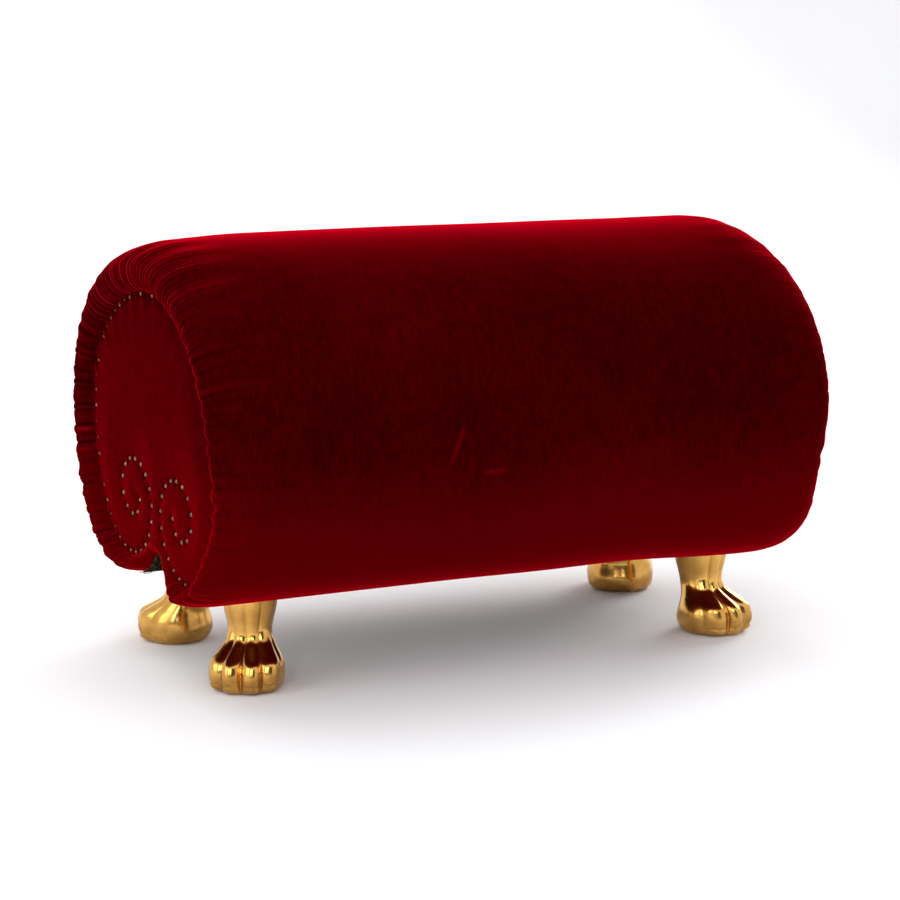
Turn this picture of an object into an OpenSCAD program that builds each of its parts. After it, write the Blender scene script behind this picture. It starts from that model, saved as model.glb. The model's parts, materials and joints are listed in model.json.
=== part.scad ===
// Roll-shaped upholstered footstool: a wooden former frame wrapped in foam and velvet,
// gathered over a soft roll at each end, with nailed scroll panels and four cast paw feet.
// X runs along the roll, +Y is the rear and +Z is up. The origin is on the floor, midway
// between the feet.

/* [Body] */
// Distance between the faces of the two end panels
panel_span = 730; // [640:10:900]
// Half width of the nail line at its widest
nail_half_width = 211; // [195:1:230]
// Height of the widest point of the body above the floor
belly_z = 273; // [255:1:290]
// Height of the nail line above that widest point
nail_crown = 160; // [140:1:180]
// Height of the lowest nails above the floor
nail_bottom_z = 119; // [117:1:125]

/* [Lobes] */
// Distance of each lower lobe's lowest point from the middle
lobe_y = 95; // [90:1:100]
// Height of the middle of each lobe
lobe_z = 185; // [178:1:192]
// Width of a lobe from its lowest nail to the innermost one
lobe_half_width = 80; // [76:1:84]
// Height of the top of the groove between the lobes
cleft_z = 137; // [130:1:145]

/* [Upholstery] */
// Padding outside the nail line at the top
pad_top = 58; // [50:1:70]
// Padding outside the nail line at the sides
pad_side = 42; // [30:1:50]
// Padding outside the nail line at the bottom and in the groove
pad_bottom = 23; // [20:1:26]
// How far each end roll stands out beyond its panel at the top and sides
roll_depth = 21; // [15:1:30]
// Length of the top over which the body turns into the end roll
roll_run = 38; // [25:1:45]
// Thickness of the velvet with its backing
velvet_t = 2; // [1.5:0.1:3]
// Thickness of the soft wadding under the velvet
wadding_t = 4.2; // [3:0.1:5]

/* [Frame] */
// Thickness of the plywood end boards and the middle former
board_t = 18; // [15:1:22]
// Thickness of the bent plywood skin
skin_t = 4; // [3:0.5:5]

/* [Nails] */
// Radius of a nail's domed head
nail_r = 2.9; // [2.4:0.1:4]
// Distance between neighbouring nails
nail_pitch = 19.5; // [14:0.5:26]

/* [Feet] */
// Distance of each leg's axis from the middle, along the body
foot_x = 291; // [270:1:300]
// Distance of each leg's axis from the middle, across the body
foot_y = 103; // [101:1:105]
// Angle of the paws away from the body's long axis
foot_splay = 57; // [40:1:90]
// Thickness of the felt pad under each paw
felt_t = 5; // [3:0.5:6]

/* [Hidden] */
SIDES = ["left", "right"];
FEET = ["front_left", "front_right", "rear_left", "rear_right"];
$fn = 48;

gap = 0.3;                     // air left between neighbouring soft layers
end_x = panel_span / 2;        // outer face of an end panel
panel_t = 1.9;                 // velvet panel with its folded edge
pad_t = 4.7;                   // thin felt pad behind the panel
board_x = end_x - panel_t - pad_t - 2 * 0.2;   // outer face of an end board
rail_x = board_x - board_t;    // where the rails end
former_half = board_t / 2;
roll_crest = 0.5;              // share of the padding where the roll stands out furthest
seat_x = end_x - 4.7;          // where the roll's inner edge is tucked in
lip = 5;                       // the roll's inner edge lies this far outside the nail line

// Growth beyond the nail line at the top, sides, bottom and groove, one list for each layer.
board_g = [8, 8, 6, 6];
skin_g = [for (g = board_g) g + skin_t];
cover_g = [pad_top, pad_side, pad_bottom, pad_bottom];
panel_g = [for (g = board_g) 4.4];
lip_g = [for (g = board_g) lip];

function grown(layer, by) = [for (g = layer) g + by];
wadding_g = grown(cover_g, -velvet_t - gap);
foam_g = grown(wadding_g, -wadding_t - gap);

// Points on an ellipse's arc, from one angle to another
function arc(centre, ry, rz, from, to, steps) =
    [for (i = [0:steps]) let (t = from + (to - from) * i / steps)
        [centre[0] + ry * cos(t), centre[1] + rz * sin(t)]];

function tail(list) = [for (i = [1:len(list) - 1]) list[i]];

// One half of the section, from the top over the side and round the lobe into the groove
lobe_end = -140;               // angle at which a lobe's inner wall leaves its ellipse
top_steps = 13;
side_steps = 9;
lobe_steps = 8;
function half_section(g) = concat(
    arc([0, belly_z], nail_half_width + g[1], nail_crown + g[0], 90, 0, top_steps),
    tail(arc([lobe_y, belly_z], nail_half_width - lobe_y + g[1], belly_z - nail_bottom_z + g[2],
        0, -90, side_steps)),
    tail(arc([lobe_y, lobe_z], lobe_half_width + g[3], lobe_z - nail_bottom_z + g[2],
        -90, lobe_end, lobe_steps)),
    [[0, cleft_z + 0.7 * (pad_bottom - g[3])]]);

// The whole section, closed
function section(g) = let (half = half_section(g), n = len(half))
    concat(half, [for (i = [n - 2:-1:1]) [-half[i][0], half[i][1]]]);

// One number for each point of the section, from its values at the top, side, bottom and groove
function blend(from, to, steps) = [for (i = [0:steps]) from + (to - from) * i / steps];
function spread(v) = let (
    half = concat(blend(v[0], v[1], top_steps), tail(blend(v[1], v[2], side_steps)),
        tail(blend(v[2], v[3], lobe_steps)), [v[3]]),
    n = len(half))
    concat(half, [for (i = [n - 2:-1:1]) half[i]]);

module along_x(from, to) {
    translate([from, 0, 0]) rotate([90, 0, 90]) linear_extrude(to - from) children();
}

module profile(g) {
    polygon(section(g));
}

module at_end(side) {
    mirror([side == "left" ? 1 : 0, 0, 0]) children();
}

// A solid whose surface is a list of closed rings, with the last ring joined to the first
module ring_solid(rings) {
    m = len(rings);
    n = len(rings[0]);
    points = [for (ring = rings) each ring];
    faces = [for (j = [0:m - 1], i = [0:n - 1]) let (
        a = j * n + i, b = j * n + (i + 1) % n,
        c = (j + 1) % m * n + (i + 1) % n, d = (j + 1) % m * n + i)
        each [[a, b, c], [a, c, d]]];
    polyhedron(points, faces);
}

// ---------------------------------------------------------------- wooden frame

// Rails between the end boards: [least y, least z, width, height]
foot_rail = [68, 123, 70, 40];
side_rail = [190, 255, 22, 50];
shoulder_rail = [115, 370, 30, 22];
top_rail = [-30, 416, 60, 22];
keel_rail = [-25, 172, 50, 28];
rail_slack = 0.2;              // clearance round each rail in the middle former

// Screws into the rail ends: [y, z], with the front ones mirrored from the rear ones
paired_screws = [[88, 143], [118, 143], [201, 268], [201, 292], [130, 381]];
middle_screws = [[-15, 427], [15, 427], [-14, 186], [14, 186]];
screw_r = 2;
screw_head_r = 4.2;
screw_head_h = 3;
screw_length = 55;

module rail(size, slack = 0) {
    translate([size[0] - slack, size[1] - slack])
        square([size[2] + 2 * slack, size[3] + 2 * slack]);
}

module both_sides() {
    children();
    mirror([1, 0]) children();
}

module all_rails(slack) {
    both_sides() {
        rail(foot_rail, slack);
        rail(side_rail, slack);
        rail(shoulder_rail, slack);
    }
    rail(top_rail, slack);
    rail(keel_rail, slack);
}

module screw(extra = 0) {
    rotate([0, -90, 0]) {
        cylinder(r = screw_r + extra, h = screw_length);
        cylinder(r1 = screw_head_r + extra, r2 = screw_r + extra, h = screw_head_h);
    }
}

module end_screws(extra = 0) {
    spots = concat(paired_screws, [for (p = paired_screws) [-p[0], p[1]]], middle_screws);
    for (p = spots) translate([board_x, p[0], p[1]]) screw(extra);
}

module end_board(side) {
    color("burlywood") at_end(side) difference() {
        along_x(rail_x, board_x) profile(board_g);
        end_screws(0.05);
    }
}

module middle_former() {
    color("burlywood") along_x(-former_half, former_half) difference() {
        profile(board_g);
        all_rails(rail_slack);
    }
}

// A rail between the end boards, with pilot holes for its screws
module long_rail(size, rear = true) {
    color("peru") difference() {
        mirror([0, rear ? 0 : 1, 0]) along_x(-rail_x, rail_x) rail(size);
        for (side = SIDES) at_end(side) end_screws(0.05);
        for (foot = FEET) at_foot(foot) rail_bores();
    }
}

// Bent plywood wrapped round the formers, with a hole for each leg
module bent_skin() {
    color("tan") difference() {
        along_x(-board_x, board_x) difference() {
            profile(skin_g);
            profile(grown(board_g, 0.2));
        }
        leg_holes();
    }
}

module frame_screws() {
    color("silver") for (side = SIDES) at_end(side) end_screws();
}

// ---------------------------------------------------------------- upholstery

module foam_wrap() {
    color("khaki") difference() {
        along_x(-board_x, board_x) difference() {
            profile(foam_g);
            profile(grown(skin_g, gap));
        }
        leg_holes();
    }
}

module wadding() {
    wadding_x = min(roll_starts) + 3;
    color("whitesmoke") difference() {
        along_x(-wadding_x, wadding_x) difference() {
            profile(wadding_g);
            profile(grown(foam_g, gap));
        }
        leg_holes();
    }
}

// The roll stands out fully at the top and sides, a little less at the lobes' bottoms and
// hardly at all in the groove.
roll_tips = spread([for (k = [1, 1, 0.9, 0.1]) end_x + k * roll_depth]);
roll_starts = spread([for (k = [1, 0.87, 0.63, 0.2]) end_x - k * roll_run]);

// One ring of the end roll's surface. t runs from 0, on the body's side, over the crest at 90
// to 180 at the tucked edge, and inset moves the whole surface into the roll.
function roll_x(i, t, inset) = let (from = t <= 90 ? roll_starts[i] : seat_x)
    from + (roll_tips[i] - inset - from) * sin(t);
function roll_share(t) = t <= 90 ? roll_crest + (1 - roll_crest) * cos(t)
    : roll_crest + roll_crest * cos(t);
function roll_growth(t, inset) = [for (k = [0:3])
    lip_g[k] + inset + (cover_g[k] - lip_g[k] - 2 * inset) * roll_share(t)];
function ring_at(x, g) = [for (p = section(g)) [x, p[0], p[1]]];
function roll_ring(t, inset) = let (line = section(roll_growth(t, inset)))
    [for (i = [0:len(line) - 1]) [roll_x(i, t, inset), line[i][0], line[i][1]]];
function turned_round(ring) = [for (p = ring) [-p[0], p[1], p[2]]];

roll_steps = 9;
roll_angles = [for (i = [0:roll_steps]) 180 * i / roll_steps];

// One face of the cover, from the left tucked edge to the right one
function cover_face(inset) = concat(
    [for (i = [roll_steps:-1:0]) turned_round(roll_ring(roll_angles[i], inset))],
    [for (i = [0:roll_steps]) roll_ring(roll_angles[i], inset)]);

module velvet_cover() {
    inner = cover_face(velvet_t);
    color("darkred") difference() {
        ring_solid(concat(cover_face(0), [for (i = [len(inner) - 1:-1:0]) inner[i]]));
        leg_holes();
    }
}

// Where the roll's surface crosses the plane x, a little inside the cover's flat facets
function roll_cut(x, inset) = [for (i = [0:len(roll_tips) - 1]) let (
    t = asin((x - roll_starts[i]) / (roll_tips[i] - inset - roll_starts[i])),
    p = section(roll_growth(t, inset + facet_slack))[i]) [x, p[0], p[1]]];
facet_slack = 0.4;

module end_roll(side) {
    inset = velvet_t + gap;
    face_x = board_x + gap;
    first = 2;                  // first of the cover's rings that lies beyond the board's face
    color("khaki") at_end(side) ring_solid(concat(
        [for (i = [first:roll_steps]) roll_ring(roll_angles[i], inset)],
        [ring_at(face_x, roll_growth(180, inset)), roll_cut(face_x, inset)]));
}

module end_pad(side) {
    color("whitesmoke") at_end(side)
        along_x(end_x - panel_t - 0.2 - pad_t, end_x - panel_t - 0.2) profile(panel_g);
}

module end_panel(side) {
    color("firebrick") at_end(side) along_x(end_x - panel_t, end_x) profile(panel_g);
}

// The nail line of one half: round the edge, up the groove and in along the scroll
scroll_top = 48;
scroll_y = 72;
scroll_turn = 196;
scroll_low_y = 82;
scroll_low_z = 188;
nail_line = concat(
    arc([0, belly_z], nail_half_width, nail_crown, 90, 0, 12),
    tail(arc([lobe_y, belly_z], nail_half_width - lobe_y, belly_z - nail_bottom_z, 0, -90, 12)),
    tail(arc([lobe_y, lobe_z], lobe_half_width, lobe_z - nail_bottom_z, -90, -180, 12)),
    tail(arc([scroll_y, lobe_z], scroll_y - lobe_y + lobe_half_width, scroll_top, 180, 90, 10)),
    tail(arc([scroll_y, scroll_turn], 46, lobe_z + scroll_top - scroll_turn, 90, 0, 8)),
    tail(arc([scroll_low_y, scroll_turn], scroll_y + 46 - scroll_low_y, 30, 0, -90, 8)),
    tail(arc([scroll_low_y, scroll_low_z], 26, scroll_low_z + 30 - scroll_turn, -90, -180, 6)));

// Length of the line up to each of its points
line_run = [for (i = 0, run = 0; i < len(nail_line);
    run = run + (i + 1 < len(nail_line) ? norm(nail_line[i + 1] - nail_line[i]) : 0), i = i + 1) run];

function point_at(run) = [lookup(run, [for (i = [0:len(nail_line) - 1]) [line_run[i], nail_line[i][0]]]),
    lookup(run, [for (i = [0:len(nail_line) - 1]) [line_run[i], nail_line[i][1]]])];

nail_count = floor(line_run[len(line_run) - 1] / nail_pitch);
half_nails = [for (i = [1:nail_count]) point_at(i * nail_pitch)];
nail_spots = concat([nail_line[0]], half_nails, [for (p = half_nails) [-p[0], p[1]]]);
shank_r = 0.8;
shank_length = 14;
dome_h = 1.8;

// A domed nail on the panel's face, with its shank in the board
module nail() {
    rotate([0, 90, 0]) {
        translate([0, 0, -shank_length]) cylinder(r = shank_r, h = shank_length + 0.1, $fn = 24);
        rotate_extrude($fn = 24) polygon([
            [0, 0.02], [nail_r, 0.02], [0.8 * nail_r, 0.65 * dome_h], [0, dome_h]]);
    }
}

module nails(side) {
    color("darkgoldenrod") at_end(side) for (p = nail_spots) translate([end_x, p[0], p[1]]) nail();
}

// Dark cloth over the raw edges of the velvet in the groove
lining_t = 1.2;
lining_x = end_x - 12;
lining_start = 7;              // how many section points down the groove wall the cloth starts

function lining_half(by) = let (half = half_section(grown(cover_g, by)), n = len(half))
    [for (i = [n - 1 - lining_start:n - 1]) half[i]];

module groove_lining() {
    near = lining_half(gap);
    far = lining_half(gap + lining_t);
    n = len(near);
    color("darkolivegreen") along_x(-lining_x, lining_x) polygon(concat(
        near, [for (i = [n - 2:-1:0]) [-near[i][0], near[i][1]]],
        [for (i = [0:n - 1]) [-far[i][0], far[i][1]]], [for (i = [n - 2:-1:0]) far[i]]));
}

// Staple crowns that hold the cloth along both of its edges
module lining_staples() {
    edge = lining_half(gap + lining_t)[0];
    crown = [10, 1.2, 0.7];
    leg_h = 6;
    step = 44;
    count = floor(lining_x / step);
    color("gray") for (i = [-count:count], side = [-1, 1])
        translate([i * step - crown[0] / 2, side * (edge[0] - 3), edge[1] - 1.6]) {
            cube(crown);
            for (x = [0, crown[0] - crown[1]]) translate([x, 0, 0]) cube([crown[1], crown[1], leg_h]);
        }
}

// ---------------------------------------------------------------- feet

leg_r = 31;
leg_top_z = 120;               // the leg's flat top, under its mounting plate
plate_t = foot_rail[1] - leg_top_z;
rail_top_z = foot_rail[1] + foot_rail[3];
bolt_r = 3.9;
bolt_clear_r = 4.1;
bolt_low_z = 88;
nut_r = 5;
nut_h = 12;
nut_flange_r = 11;
nut_flange_h = 1.6;
plate_screw_ring = 22;
plate_screw_r = 1.9;
plate_screw_head_r = 3.8;
plate_screw_length = 22;

// Places a child drawn round a leg's axis, with +X along the toes
module at_foot(foot) {
    east = foot == "front_right" || foot == "rear_right";
    rear = foot == "rear_left" || foot == "rear_right";
    turn = (rear ? 1 : -1) * (east ? foot_splay : 180 - foot_splay);
    translate([east ? foot_x : -foot_x, rear ? foot_y : -foot_y, 0]) rotate(turn) children();
}

module leg_holes() {
    for (foot = FEET) at_foot(foot) translate([0, 0, 60]) cylinder(r = leg_r + 1, h = 62.5);
}

// Outline of the paw and leg at a few heights, set by hand:
// [height, forward shift, half length, half width, depth of the grooves between the toes]
paw_levels = [
    [2.5, 20, 38, 37, 0.08], [6, 21, 41, 40.5, 0.13], [14, 22, 43, 42.5, 0.17],
    [24, 22, 43, 42.5, 0.18], [32, 20.5, 41, 40.5, 0.17], [39, 17, 37, 37, 0.15],
    [45, 12, 32, 32.5, 0.12], [51, 6.5, 27.5, 28, 0.10], [58, 2, 24.8, 24.8, 0.08],
    [66, 0.5, 24.6, 24.6, 0.07], [75, 0, 26.5, 26.3, 0.06], [86, 0, 29, 29, 0.06],
    [96, 0, 30.8, 30.8, 0.04], [102, 0, leg_r, leg_r, 0], [leg_top_z, 0, leg_r, leg_r, 0]];
toe_grooves = [0, 37, -37, 84, -84];
groove_w = 9;                  // width of a groove in degrees
paw_points = 60;

function scallop(angle, depth) = 1 - depth * max([for (g = toe_grooves)
    exp(-pow((angle - g) / groove_w, 2))]);
function paw_ring(level) = [for (i = [0:paw_points - 1]) let (
    angle = 360 * i / paw_points - 180, s = scallop(angle, level[4]))
    [level[1] + level[2] * cos(angle) * s, level[3] * sin(angle) * s, level[0]]];

module paw_body() {
    m = len(paw_levels);
    n = paw_points;
    points = [for (level = paw_levels) each paw_ring(level)];
    walls = [for (j = [0:m - 2], i = [0:n - 1]) let (
        a = j * n + i, b = j * n + (i + 1) % n, c = (j + 1) * n + (i + 1) % n, d = (j + 1) * n + i)
        each [[a, c, b], [a, d, c]]];
    polyhedron(points, concat(walls, [[for (i = [0:n - 1]) i]],
        [[for (i = [n - 1:-1:0]) (m - 1) * n + i]]));
}

felt_r = 27;
felt_shift = 19;

module paw_foot(foot) {
    color("gold") at_foot(foot) difference() {
        paw_body();
        translate([felt_shift, 0, 0]) cylinder(r = felt_r + gap, h = felt_t + 0.1);
        translate([0, 0, bolt_low_z - 2]) cylinder(r = bolt_r + 0.05, h = leg_top_z);
    }
}

module felt_pad(foot) {
    color("dimgray") at_foot(foot) translate([felt_shift, 0, 0]) cylinder(r = felt_r, h = felt_t);
}

module foot_bolt(foot) {
    color("silver") at_foot(foot) translate([0, 0, bolt_low_z])
        cylinder(r = bolt_r, h = rail_top_z - bolt_low_z);
}

module plate_screw(extra = 0) {
    cylinder(r = plate_screw_r + extra, h = plate_screw_length);
    cylinder(r1 = plate_screw_head_r + extra, r2 = plate_screw_r + extra, h = plate_t);
}

module ring_of_plate_screws(extra = 0) {
    for (i = [0:3]) rotate(45 + 90 * i) translate([plate_screw_ring, 0, leg_top_z]) plate_screw(extra);
}

// Everything that is bored into a foot rail above one leg
module rail_bores() {
    translate([0, 0, leg_top_z]) cylinder(r = bolt_clear_r, h = rail_top_z);
    translate([0, 0, rail_top_z - nut_h]) cylinder(r = nut_r + 0.05, h = 2 * nut_h);
    ring_of_plate_screws(0.05);
}

module mounting_plates() {
    color("silver") for (foot = FEET) at_foot(foot) difference() {
        translate([0, 0, leg_top_z]) cylinder(r = leg_r, h = plate_t);
        translate([0, 0, leg_top_z - 1]) cylinder(r = bolt_clear_r, h = plate_t + 2);
        ring_of_plate_screws(0.05);
    }
}

module plate_screws() {
    color("dimgray") for (foot = FEET) at_foot(foot) ring_of_plate_screws();
}

module tee_nuts() {
    color("silver") for (foot = FEET) at_foot(foot) difference() {
        union() {
            translate([0, 0, rail_top_z - nut_h]) cylinder(r = nut_r, h = nut_h);
            translate([0, 0, rail_top_z]) cylinder(r = nut_flange_r, h = nut_flange_h);
        }
        translate([0, 0, rail_top_z - nut_h - 1]) cylinder(r = bolt_r + 0.05, h = 2 * nut_h);
    }
}

end_board("left");  // end_board_left
end_board("right");  // end_board_right
middle_former();
long_rail(foot_rail, rear = false);  // foot_rail_front
long_rail(foot_rail);  // foot_rail_rear
long_rail(side_rail, rear = false);  // side_rail_front
long_rail(side_rail);  // side_rail_rear
long_rail(shoulder_rail, rear = false);  // shoulder_rail_front
long_rail(shoulder_rail);  // shoulder_rail_rear
long_rail(top_rail);
long_rail(keel_rail);
bent_skin();
frame_screws();
foam_wrap();
wadding();
end_roll("left");  // end_roll_left
end_roll("right");  // end_roll_right
end_pad("left");  // end_pad_left
end_pad("right");  // end_pad_right
end_panel("left");  // end_panel_left
end_panel("right");  // end_panel_right
velvet_cover();
nails("left");  // nails_left
nails("right");  // nails_right
groove_lining();
lining_staples();
mounting_plates();
plate_screws();
tee_nuts();
for (foot = FEET) {
    foot_bolt(foot);
    paw_foot(foot);
    felt_pad(foot);
}
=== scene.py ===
"""Looks of the roll-shaped velvet footstool: gathered velvet cover, nailed scroll panels, lined
groove and gilded paw feet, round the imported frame. Lengths are in metres, X runs along the roll."""
import json
import math

import bpy
import numpy as np
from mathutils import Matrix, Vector


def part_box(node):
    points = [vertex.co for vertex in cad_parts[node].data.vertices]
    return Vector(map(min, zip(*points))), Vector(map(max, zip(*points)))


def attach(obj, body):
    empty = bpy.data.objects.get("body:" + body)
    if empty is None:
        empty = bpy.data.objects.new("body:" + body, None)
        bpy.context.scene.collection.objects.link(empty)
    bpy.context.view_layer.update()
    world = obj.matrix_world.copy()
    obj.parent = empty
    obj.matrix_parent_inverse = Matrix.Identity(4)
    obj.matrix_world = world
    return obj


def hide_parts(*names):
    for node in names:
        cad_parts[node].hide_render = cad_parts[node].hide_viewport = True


bl_info = {
    "name": "Velvet roll footstool",
    "version": (1, 0, 0),
    "blender": (4, 5, 0),
    "location": "View3D > Sidebar > Footstool",
    "description": "Builds the velvet, nails, lining and paw feet round the packed frame",
    "category": "Object",
}

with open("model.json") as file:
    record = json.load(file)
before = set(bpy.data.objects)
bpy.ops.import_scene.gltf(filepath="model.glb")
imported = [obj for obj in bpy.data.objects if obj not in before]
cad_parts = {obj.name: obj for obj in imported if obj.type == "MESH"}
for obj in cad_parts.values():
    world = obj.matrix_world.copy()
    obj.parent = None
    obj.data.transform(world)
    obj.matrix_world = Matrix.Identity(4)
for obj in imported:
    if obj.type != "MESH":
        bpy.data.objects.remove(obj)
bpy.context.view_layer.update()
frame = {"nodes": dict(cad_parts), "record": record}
PANEL_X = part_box("end_panel_right")[1][0]
COVER_LOW, COVER_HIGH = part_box("velvet_cover")
CROWN_Z = COVER_HIGH[2]
HALF_DEPTH = COVER_HIGH[1]
LOBE_BOTTOM_Z = COVER_LOW[2]
ROLL_TIP = COVER_HIGH[0]
FEET = ("front_left", "front_right", "rear_left", "rear_right")
ENDS = (("left", -1), ("right", 1))
ROOT = "root"
BELLY_Z = 0.273
NAIL_HALF_WIDTH = 0.211
NAIL_CROWN = 0.160
NAIL_BOTTOM_Z = 0.119


# ------------------------------------------------------------------ settings

class FootstoolShape(bpy.types.PropertyGroup):
    belly_z: bpy.props.FloatProperty(
        name="Belly height", description="Height of the widest point of the body",
        default=BELLY_Z, unit="LENGTH")
    nail_half_width: bpy.props.FloatProperty(
        name="Nail line half width", description="Half width of the nail line at its widest",
        default=NAIL_HALF_WIDTH, unit="LENGTH")
    nail_crown: bpy.props.FloatProperty(
        name="Nail line crown", description="Height of the nail line above the widest point",
        default=NAIL_CROWN, unit="LENGTH")
    nail_bottom_z: bpy.props.FloatProperty(
        name="Lowest nails", description="Height of the lowest nails above the floor",
        default=NAIL_BOTTOM_Z, unit="LENGTH")
    lobe_y: bpy.props.FloatProperty(
        name="Lobe distance", description="Distance of each lobe from the middle",
        default=0.095, unit="LENGTH")
    lobe_z: bpy.props.FloatProperty(
        name="Lobe height", description="Height of the middle of each lobe",
        default=0.185, unit="LENGTH")
    lobe_half_width: bpy.props.FloatProperty(
        name="Lobe half width", description="From a lobe's lowest nail to its innermost one",
        default=0.080, unit="LENGTH")
    cleft_z: bpy.props.FloatProperty(
        name="Groove height", description="Height of the top of the groove between the lobes",
        default=0.137, unit="LENGTH")
    roll_run: bpy.props.FloatProperty(
        name="Roll run", description="Length over which the top turns into the end roll",
        default=0.038, unit="LENGTH")
    pleat_pitch: bpy.props.FloatProperty(
        name="Pleat pitch", description="Mean distance between the tight gathers at the top",
        default=0.0104, unit="LENGTH")
    pleat_depth: bpy.props.FloatProperty(
        name="Pleat depth", description="Depth of the deepest gathers",
        default=0.0052, unit="LENGTH")
    nail_pitch: bpy.props.FloatProperty(
        name="Nail pitch", description="Distance between neighbouring nails",
        default=0.0195, unit="LENGTH")
    nail_radius: bpy.props.FloatProperty(
        name="Nail radius", description="Radius of a nail's domed head",
        default=0.0028, unit="LENGTH")
    panel_puff: bpy.props.FloatProperty(
        name="Panel puff", description="Furthest that the end panels swell between their nails",
        default=0.006, unit="LENGTH")


class FootstoolColours(bpy.types.PropertyGroup):
    velvet_dark: bpy.props.FloatVectorProperty(
        name="Velvet shade", description="Colour of the pile seen straight on",
        default=(0.022, 0.0, 0.0002), subtype="COLOR", size=3)
    # Partly painted light: brushed pile is the velvet's own, while raised folds and the lower body
    # are lifted towards this colour as painted highlight and painted light.
    velvet_light: bpy.props.FloatVectorProperty(
        name="Velvet light", description="Colour of brushed pile and raised folds",
        default=(0.080, 0.0, 0.0008), subtype="COLOR", size=3)
    # Painted highlight laid on the ridges of the gathers.
    velvet_ridge_highlight: bpy.props.FloatVectorProperty(
        name="Velvet ridge", description="Colour of the rubbed ridges of the gathers",
        default=(0.34, 0.0, 0.006), subtype="COLOR", size=3)
    velvet_sheen: bpy.props.FloatVectorProperty(
        name="Velvet sheen", description="Colour of the pile seen along the surface",
        default=(0.90, 0.0, 0.016), subtype="COLOR", size=3)
    gilding: bpy.props.FloatVectorProperty(
        name="Gilding", description="Colour of the polished paw feet",
        default=(0.76, 0.43, 0.105), subtype="COLOR", size=3)
    nail_metal: bpy.props.FloatVectorProperty(
        name="Nail metal", description="Colour of the aged nail heads",
        default=(0.10, 0.075, 0.045), subtype="COLOR", size=3)
    lining: bpy.props.FloatVectorProperty(
        name="Lining", description="Colour of the dark cloth in the groove",
        default=(0.012, 0.011, 0.005), subtype="COLOR", size=3)


# ------------------------------------------------------------------ shapes

def hermite(x, knots, values):
    """A smooth curve through a few points: cubic pieces whose slopes are those of the
    neighbouring points, so the curve never bends sharply at a point."""
    knots, values = np.asarray(knots, float), np.asarray(values, float)
    slopes = np.gradient(values, knots)
    i = np.clip(np.searchsorted(knots, x) - 1, 0, len(knots) - 2)
    h = knots[i + 1] - knots[i]
    t = np.clip((x - knots[i]) / h, 0, 1)
    return ((2 * t**3 - 3 * t**2 + 1) * values[i] + (t**3 - 2 * t**2 + t) * h * slopes[i]
            + (3 * t**2 - 2 * t**3) * values[i + 1] + (t**3 - t**2) * h * slopes[i + 1])


def smoothstep(low, high, x):
    """0 below low, 1 above high and an even S-curve between them."""
    t = np.clip((x - low) / (high - low), 0, 1)
    return t * t * (3 - 2 * t)


def bell(x, middle, spread):
    """A bell curve: 1 at the middle, falling as e to the minus square of the distance from it
    over the spread."""
    return np.exp(-((x - middle) / spread) ** 2)


LOBE_END = math.radians(-140)  # where a lobe's ellipse gives way to the groove's arch
ARCH_FOLLOW = 0.7              # how much of the padding's loss the groove's top follows
ARCH_HANDLE = 0.55             # how far out the arch's handle stands, as a share of its foot
SECTION_SAMPLES = 4000


class Section:
    """The body's cross-section. A place on it is p, from 0 at the top to 4 at the top of the
    groove on the rear half, and growth is its distance outside the nail line at the top, side,
    bottom and groove. Each quarter is an ellipse's arc, and the last one a soft arch."""

    def __init__(self, shape):
        self.s = shape

    def half(self, p, growth):
        """Points (y, z) of the rear half at places p, for growth values of matching shape."""
        s = self.s
        top, side, bottom, cleft = growth
        a = (1 - np.clip(p, 0, 1)) * math.pi / 2
        crown_y = (s.nail_half_width + side) * np.cos(a)
        crown_z = s.belly_z + (s.nail_crown + top) * np.sin(a)
        b = -np.clip(p - 1, 0, 1) * math.pi / 2
        flank_y = s.lobe_y + (s.nail_half_width - s.lobe_y + side) * np.cos(b)
        low = s.belly_z - s.nail_bottom_z + bottom
        flank_z = s.belly_z + low * np.sin(b)
        c = -math.pi / 2 + np.clip(p - 2, 0, 1) * (LOBE_END + math.pi / 2)
        lobe_w = s.lobe_half_width + cleft
        lobe_h = s.lobe_z - s.nail_bottom_z + bottom
        lobe_y = s.lobe_y + lobe_w * np.cos(c)
        lobe_z = s.lobe_z + lobe_h * np.sin(c)
        end_y = s.lobe_y + lobe_w * math.cos(LOBE_END)
        end_z = s.lobe_z + lobe_h * math.sin(LOBE_END)
        apex_z = s.cleft_z + ARCH_FOLLOW * (COVER_GROWTH[3] - cleft)
        t = np.clip(p - 3, 0, 1)
        # a curve with one handle, which stands at the arch's full height near the wall
        lift = np.maximum(apex_z - end_z, 0.0)
        arch_y = end_y * (1 - t) ** 2 + 2 * t * (1 - t) * end_y * ARCH_HANDLE
        arch_z = end_z * (1 - t) ** 2 + 2 * t * (1 - t) * (end_z + lift) + t * t * (end_z + lift)
        y = np.select([p < 1, p < 2, p < 3], [crown_y, flank_y, lobe_y], arch_y)
        z = np.select([p < 1, p < 2, p < 3], [crown_z, flank_z, lobe_z], arch_z)
        return y, z

    def evenly(self, growth):
        """Places p along the rear half, sampled finely, and their distances from the top: the
        lengths of the short steps, summed."""
        p = np.linspace(0, 4, SECTION_SAMPLES)
        y, z = self.half(p, growth)
        run = np.concatenate([[0], np.cumsum(np.hypot(np.diff(y), np.diff(z)))])
        return p, run

    def place(self, u):
        """The place p for u, which goes evenly round the cover's own section: 0 at the top,
        over the rear half, 0.5 in the groove and over the front half back to 1."""
        p_fine, run = self.evenly(COVER_GROWTH)
        share = 2 * np.abs((u + 0.5) % 1.0 - 0.5)
        return np.interp(share * run[-1], run, p_fine)

    def closed(self, u, growth):
        """Points of the whole section at u, for growth values of matching shape."""
        y, z = self.half(self.place(u), growth)
        return np.where(u % 1.0 <= 0.5, y, -y), z


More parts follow.
